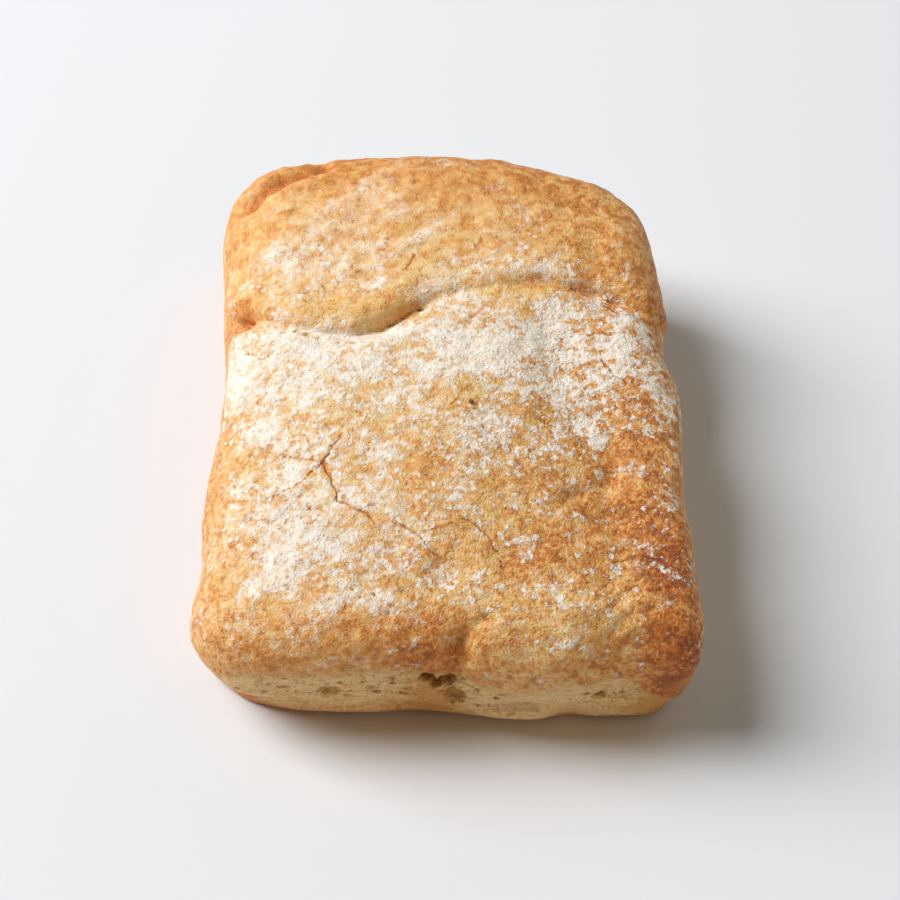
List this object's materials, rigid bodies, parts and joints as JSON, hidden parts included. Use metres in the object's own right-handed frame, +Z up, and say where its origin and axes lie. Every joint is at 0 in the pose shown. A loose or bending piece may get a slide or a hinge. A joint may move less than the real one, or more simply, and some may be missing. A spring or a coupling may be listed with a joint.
{
  "type": "ciabatta roll",
  "caption": "Ciabatta roll: a squarish baked loaf with rounded corners, a floury cracked crust folded across the top, an open-crumbed front wall and a flat base to rest on.",
  "frame": {"origin": "middle of the loaf's flat base, on the surface that it rests on", "axes": "+Z up through the crown, +Y along the loaf's length from its front wall to its back wall, +X across to its right"},
  "size_m": [0.0985, 0.1232, 0.0409],
  "materials": {
    "crust": "matte baked crust, dusted with flour"
  },
  "bodies": {
    "root": {"loaf": "crust"}
  },
  "joints": []
}
